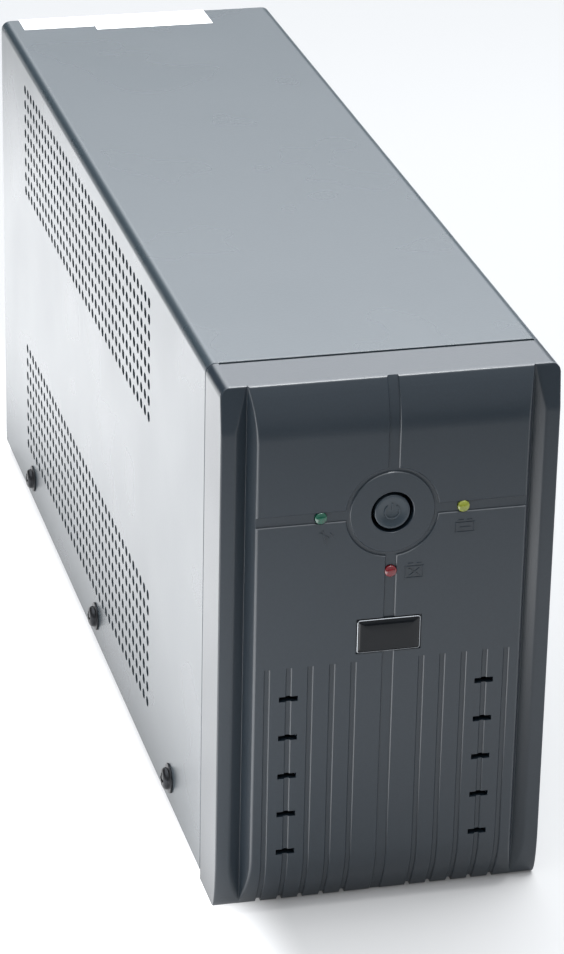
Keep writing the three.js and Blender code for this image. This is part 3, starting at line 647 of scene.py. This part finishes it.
def build_cover():
    inner = mirrored(cover_arch(HALF - SHEET, CASE_TOP - SHEET, COVER_RADIUS - SHEET))
    rings = []
    edge = 0.3
    for a in quarter(4):
        inset, y = edge * (1 - math.sin(a)), COVER_FRONT + edge * (1 - math.cos(a))
        outer = mirrored(cover_arch(HALF - inset, CASE_TOP - inset, COVER_RADIUS - inset))
        rings.append([(x, y, z) for x, z in outer + inner[::-1]])
    rings.append([(x, CASE_DEPTH, z) for x, y, z in rings[-1]])
    cover = loft("cover_sheet", rings)
    holes = []
    for low in VENT_FIELDS_Z:
        for row in range(VENT_ROWS):
            for column in range(VENT_COLUMNS):
                holes.append((VENT_R, VENT_FIRST_Y + column * VENT_PITCH_Y, low + row * VENT_PITCH_Z))
    holes += [(SCREW_HOLE_R, y, SCREW_Z) for y in SCREW_Y]
    sides = 14
    points, faces = [], []
    for side in (-1, 1):
        for radius, y, z in holes:
            first = len(points)
            for x in (side * (HALF - 2), side * (HALF + 1)):
                for k in range(sides):
                    angle = 2 * math.pi * (k + 0.5) / sides
                    points.append((x, y + radius * math.cos(angle), z + radius * math.sin(angle)))
            faces += [tuple(range(first, first + sides)), tuple(range(first + sides, first + 2 * sides))]
            for k in range(sides):
                after = (k + 1) % sides
                faces.append((first + k, first + after, first + sides + after, first + sides + k))
    carve(cover, [make_mesh("vent_punches", points, faces)])
    smooth(cover)
    stands_for(cover, powder_coat, "outer_cover")


# ---- Badge, button and lamps ----

def build_badge():
    """A small framed plate: a bright rim round a dark resin dome."""
    back = -PANEL_PROUD + BADGE_POCKET - 0.3
    across, up = BADGE_WIDTH / 2, BADGE_HEIGHT / 2

    def outline(inset, corner, y):
        side, end = across - inset, up - inset
        box = [(0, -end), (side, -end), (side, end), (0, end)]
        right = rounded(box, [corner, corner], 4)
        ring = right + [(-x, z) for x, z in reversed(right)]
        return [(x, y, BADGE_Z + z) for x, z in ring]

    rim_steps = [
        (0, 0.8, back),
        (0, 0.8, back - 0.5),
        (0.07, 0.75, back - 0.57),
        (0.22, 0.6, back - 0.55),
        (0.28, 0.55, back - 0.1),
    ]
    rim = loft("badge_rim", [outline(*step) for step in rim_steps])
    smooth(rim)
    stands_for(rim, bright_nickel, "badge_plate")
    edge, foot, height = 0.28, back - 0.3, 0.62
    dome_steps = [(edge, 0.55, back - 0.08), (edge, 0.55, foot)]
    crown = up - 0.4
    for a in quarter(12)[1:]:
        dome_steps.append((edge + crown * (1 - math.cos(a)), 0.5, foot - height * math.sin(a)))
    dome = loft("badge_dome", [outline(*step) for step in dome_steps])
    smooth(dome, 60)
    joins(dome, badge_resin, "unit")


def cap_face(radius):
    """The y of the button's dished face."""
    return BUTTON_RECESS - PANEL_PROUD - BUTTON_DISH_DEPTH * (radius / BUTTON_DISH_R) ** 2


def power_symbol():
    """A broken ring and a short bar, raised on the cap."""
    def ridge(name, stations):
        rings = []
        for x, z, across_x, across_z in stations:
            y = cap_face(math.hypot(x, z))
            shape = [(-1, 0.05), (-0.6, -0.3), (0.6, -0.3), (1, 0.05)]
            rings.append([(x + u * across_x, y + v, BUTTON_Z + z + u * across_z) for u, v in shape])
        return loft(name, rings)

    radius, half = 2.1, 0.3
    arc = []
    for i in range(33):
        angle = math.radians(125 + 290 * i / 32)
        c, s = math.cos(angle), math.sin(angle)
        arc.append((radius * c, radius * s, half * c, half * s))
    return [ridge("symbol_ring", arc), ridge("symbol_bar", [(0, 0.3, half, 0), (0, 2.5, half, 0)])]


def build_button():
    front, back = BUTTON_FLANGE_Y, BUTTON_FLANGE_Y + BUTTON_FLANGE_THICK
    radii = [BUTTON_DISH_R * i / 6 for i in range(7)]
    dish = [(r, cap_face(r)) for r in radii]
    edge = rounded([dish[-1], (BUTTON_R, cap_face(BUTTON_DISH_R)), (BUTTON_R, front)], [0.7], 4)
    skirt = [
        (BUTTON_FLANGE_R, front),
        (BUTTON_FLANGE_R, back),
        (BUTTON_STEM_R, back),
        (BUTTON_STEM_R, BUTTON_STEM_END),
        (0, BUTTON_STEM_END),
    ]
    cap = turned("power_button_cap", dish[:-1] + edge + skirt, facing_front(0, BUTTON_Z), 64)
    smooth(cap)
    cap = joined("power_button_cap", [cap, *power_symbol()])
    cap.data.shade_smooth()
    cap.data.set_sharp_from_angle(angle=math.radians(50))
    stands_for(cap, button_abs, "power_button")


def build_spring():
    """A coil with its end turns closed, spanning the gap between the cap's flange and the board."""
    low, high = BUTTON_FLANGE_Y + BUTTON_FLANGE_THICK + 0.3, BOARD_FACE
    radius, wire, turns, steps = 3.2, 0.5, 6, 28
    closed = wire / (high - low)
    rings = []
    for i in range(turns * steps + 1):
        t = i / (turns * steps)
        rise = closed * min(t * turns, 1) + closed * max(t * turns - turns + 1, 0)
        rise += (1 - 3 * closed) * min(max((t * turns - 1) / (turns - 2), 0), 1)
        angle = 2 * math.pi * turns * t
        y = low + wire / 2 + (high - low) * rise
        ring = []
        for k in range(8):
            turn = 2 * math.pi * k / 8
            r = radius + wire / 2 * math.cos(turn)
            along = y + wire / 2 * math.sin(turn)
            ring.append((r * math.cos(angle), along, BUTTON_Z + r * math.sin(angle)))
        rings.append(ring)
    coil = loft("button_coil", rings)
    smooth(coil, 60)
    stands_for(coil, spring_steel, "button_spring")
    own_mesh(coil)


def build_lamp(name, x, z):
    """A small lamp: a low-domed epoxy body with a flange, on two plated legs."""
    front, back = LED_FLANGE_Y, LED_FLANGE_Y + LED_FLANGE_THICK
    dome = [(LED_R * math.sin(a), -PANEL_PROUD - LED_CROWN * math.cos(a)) for a in quarter(10)]
    body = [*dome, (LED_R, front), (LED_FLANGE_R, front), (LED_FLANGE_R, back), (0, back)]
    lens = turned(f"{name}_lens", body, facing_front(x, z), 32)
    smooth(lens)
    stands_for(lens, FINISHES[SLOT_OF[name]], name)
    half = LED_LEG_HALF
    legs = [
        slab("leg", leg_x - half, leg_x + half, back, BOARD_FACE, z - half, z + half)
        for leg_x in (x - LED_LEG_X, x + LED_LEG_X)
    ]
    joins(joined(f"{name}_legs", legs), zinc_sheet, "unit")


# ---- Screws and labels ----

def build_screws():
    """Flanged pan-head screws with a cross recess."""
    shank = [(0, -7), (1.7, -7), (1.7, 0), (4.5, 0)]
    head = [(4.5, 0), (4.5, 0.5), (3.4, 0.65), (3.25, 1.7), (2.4, 2.3), (0, 2.5)]
    flange = rounded(head, [0.2, 0.2, 0.6, 0.6], 3)
    for side, sign in (("left", -1), ("right", 1)):
        for y, place in zip(SCREW_Y, ("front", "middle", "rear")):
            def seat(u, v, height):
                return (sign * (HALF + 0.05 + height), y + u, SCREW_Z + v)

            screw = turned(f"flanged_screw_{side}_{place}", shank + flange[1:], seat, 40)
            recess = []
            for half_y, half_z in ((2.1, 0.45), (0.45, 2.1)):
                corners = [(-half_y, -half_z), (half_y, -half_z), (half_y, half_z), (-half_y, half_z)]
                floor = [seat(0.7 * u, 0.7 * v, 0.9) for u, v in corners]
                mouth = [seat(1.1 * u, 1.1 * v, 3.0) for u, v in corners]
                recess.append(loft("recess", [floor, mouth]))
            carve(screw, recess)
            smooth(screw)
            stands_for(screw, black_zinc, f"cover_screw_{side}_{place}")


def build_labels():
    """Two blank paper labels, folded over the top rear edge."""
    top, back, low = CASE_TOP + 0.03, CASE_DEPTH + 0.3, CASE_TOP - 15
    over, behind = top + LABEL_THICK, back + LABEL_THICK
    for side, x0, x1, front in (("left", -41.5, -17.3, 321.5), ("right", -17.0, 23.6, 317.7)):
        inner = rounded([(front, top), (back, top), (back, low)], [0.4], 5)
        outer = rounded([(front, over), (behind, over), (behind, low)], [0.5], 5)
        edges = [[(x, y, z) for y, z in outer + inner[::-1]] for x in (x0, x1)]
        label = loft(f"folded_label_{side}", edges)
        smooth(label)
        stands_for(label, label_paper, f"rear_label_{side}")


# ---- Parts that keep their CAD shape, with their edges eased ----

def ease_edges(node, edge=0.3, steps=2):
    """The CAD part again, with the small radius that moulding or deburring leaves on its edges."""
    mesh = NODES[node].data.copy()
    bm = bmesh.new()
    bm.from_mesh(mesh)
    bmesh.ops.remove_doubles(bm, verts=bm.verts, dist=0.002 * MM)
    bmesh.ops.dissolve_limit(bm, angle_limit=math.radians(1), verts=bm.verts, edges=bm.edges)
    bm.to_mesh(mesh)
    bm.free()
    piece = bpy.data.objects.new(f"{node}_eased", mesh)
    bpy.context.scene.collection.objects.link(piece)
    bevel = piece.modifiers.new("edge", "BEVEL")
    bevel.width = edge * MM
    bevel.segments = steps
    bevel.limit_method = "ANGLE"
    bevel.angle_limit = math.radians(30)
    bake_modifiers(piece)
    smooth(piece)
    stands_for(piece, FINISHES[SLOT_OF[node]], node)


EDGES = {
    "rear_panel": 0.15,
    "base_tray": 0.15,
    "battery_case": 1.0,
    "battery_bracket": 0.2,
    "transformer_frame": 0.2,
    "main_board": 0.1,
    "display_board": 0.1,
    "fuse_link": 0.2,
}
CUSTOM = ("front_bezel", "outer_cover", "badge_plate", "power_button", "button_spring")
CUSTOM_STARTS = ("led_", "cover_screw_", "rear_label_")

build_bezel()
build_cover()
build_badge()
build_button()
build_spring()
for name, (x, z) in LEDS.items():
    build_lamp(name, x, z)
build_screws()
build_labels()
for name, node in NODES.items():
    node.data.materials.clear()
    node.data.materials.append(FINISHES[SLOT_OF[name]])
    if name not in CUSTOM and not name.startswith(CUSTOM_STARTS):
        ease_edges(name, EDGES.get(name, 0.3))


# ---- Studio ----

FLOOR_FRONT = -0.56


def build_floor():
    """A floor much wider than the view, lit from below, and most strongly along the unit's left side."""
    reach = 6.0
    bm = bmesh.new()
    bmesh.ops.create_grid(bm, x_segments=8, y_segments=8, size=reach)
    bmesh.ops.translate(bm, verts=bm.verts, vec=(0, reach + FLOOR_FRONT, 0))
    mesh = bpy.data.meshes.new("floor")
    bm.to_mesh(mesh)
    bm.free()
    floor = bpy.data.objects.new("floor", mesh)
    bpy.context.scene.collection.objects.link(floor)
    material, tree, shader = new_material("opal_acrylic_light_table", Roughness=0.9)
    shader.inputs["Base Color"].default_value = linear("#979797")
    shader.inputs["Emission Color"].default_value = linear("#fcfdff")
    way = add_node(tree, "ShaderNodeTexCoord")
    axes = add_node(tree, "ShaderNodeSeparateXYZ", {"Vector": way.outputs["Object"]}).outputs
    left = ramp(tree, axes["X"], -0.026, -0.08, 0.05, 2.0)
    beside = combine(tree, "MULTIPLY", left, ramp(tree, axes["Y"], -0.08, -0.18, 1.0, 1.75))
    beside = combine(tree, "MULTIPLY", beside, ramp(tree, axes["Y"], 0.72, 0.4, 0.15, 1.0))
    edge = ramp(tree, axes["Y"], -0.16, -0.08, 1.0, 0.1)
    beside = combine(tree, "MULTIPLY", beside, ramp(tree, axes["X"], -0.28, -0.18, edge, 1.0))
    total = combine(tree, "ADD", beside, ramp(tree, axes["Y"], -0.2, -0.28, 0.0, 0.2))
    total = combine(tree, "MULTIPLY", total, ramp(tree, axes["Y"], -0.46, -0.34, 0.0, 1.0))
    link(tree, total, shader, "Emission Strength")
    mesh.materials.append(material)


def soft_box(name, place, target, width, height, power):
    lamp = bpy.data.lights.new(name, "AREA")
    lamp.shape = "RECTANGLE"
    lamp.size, lamp.size_y = width, height
    lamp.energy = power
    box = bpy.data.objects.new(name, lamp)
    box.location = place
    box.rotation_euler = (Vector(target) - Vector(place)).to_track_quat("-Z", "Y").to_euler()
    bpy.context.scene.collection.objects.link(box)


def build_world():
    """A white tent: bright overhead and high up behind, dimmer in front. The camera sees plain white."""
    world = bpy.data.worlds.new("white_tent")
    world.use_nodes = True
    tree = world.node_tree
    background = tree.nodes["Background"]
    background.inputs["Color"].default_value = linear("#f8fbff")
    way = add_node(tree, "ShaderNodeTexCoord")
    axes = add_node(tree, "ShaderNodeSeparateXYZ", {"Vector": way.outputs["Generated"]}).outputs
    behind = ramp(tree, axes["Z"], 0.3, 0.42, 0.03, 4.9)
    tent = add_node(
        tree,
        "ShaderNodeMix",
        {
            "Factor": ramp(tree, axes["Y"], -0.4, 0.7, 0.0, 1.0),
            "A": ramp(tree, axes["Z"], -0.25, 0.05, 0.03, 0.6),
            "B": combine(tree, "MULTIPLY", behind, ramp(tree, axes["X"], -0.25, 0.1, 0.1, 1.0)),
        },
    )
    total = combine(tree, "ADD", tent.outputs["Result"], ramp(tree, axes["Z"], 0.6, 0.9, 0.0, 2.5))
    path = add_node(tree, "ShaderNodeLightPath")
    seen = add_node(tree, "ShaderNodeMix", {"Factor": path.outputs["Is Camera Ray"], "A": total, "B": 1.0})
    tree.links.new(seen.outputs["Result"], background.inputs["Strength"])
    bpy.context.scene.world = world


def build_camera():
    """A long lens at the front left, looking down on the top."""
    turn, down, tilt = math.radians(14.49), math.radians(24.2), math.radians(1.2)
    forward = Vector((math.sin(turn) * math.cos(down), math.cos(turn) * math.cos(down), -math.sin(down)))
    level = Vector((math.cos(turn), -math.sin(turn), 0))
    upright = level.cross(forward)
    right = level * math.cos(tilt) + upright * math.sin(tilt)
    up = right.cross(forward)
    lens = bpy.data.cameras.new("camera")
    lens.sensor_width = 36
    lens.lens = 139.77
    lens.clip_end = 50
    camera = bpy.data.objects.new("camera", lens)
    camera.matrix_world = Matrix((right, up, -forward)).transposed().to_4x4()
    camera.location = (-0.2577, -1.0452, 0.5415)
    bpy.context.scene.collection.objects.link(camera)
    bpy.context.scene.camera = camera


build_floor()
build_world()
soft_box("top_box", (0.25, -0.15, 1.5), (0, 0, 0.1), 0.35, 0.35, 14)
build_camera()
bpy.context.scene.view_settings.view_transform = "Standard"
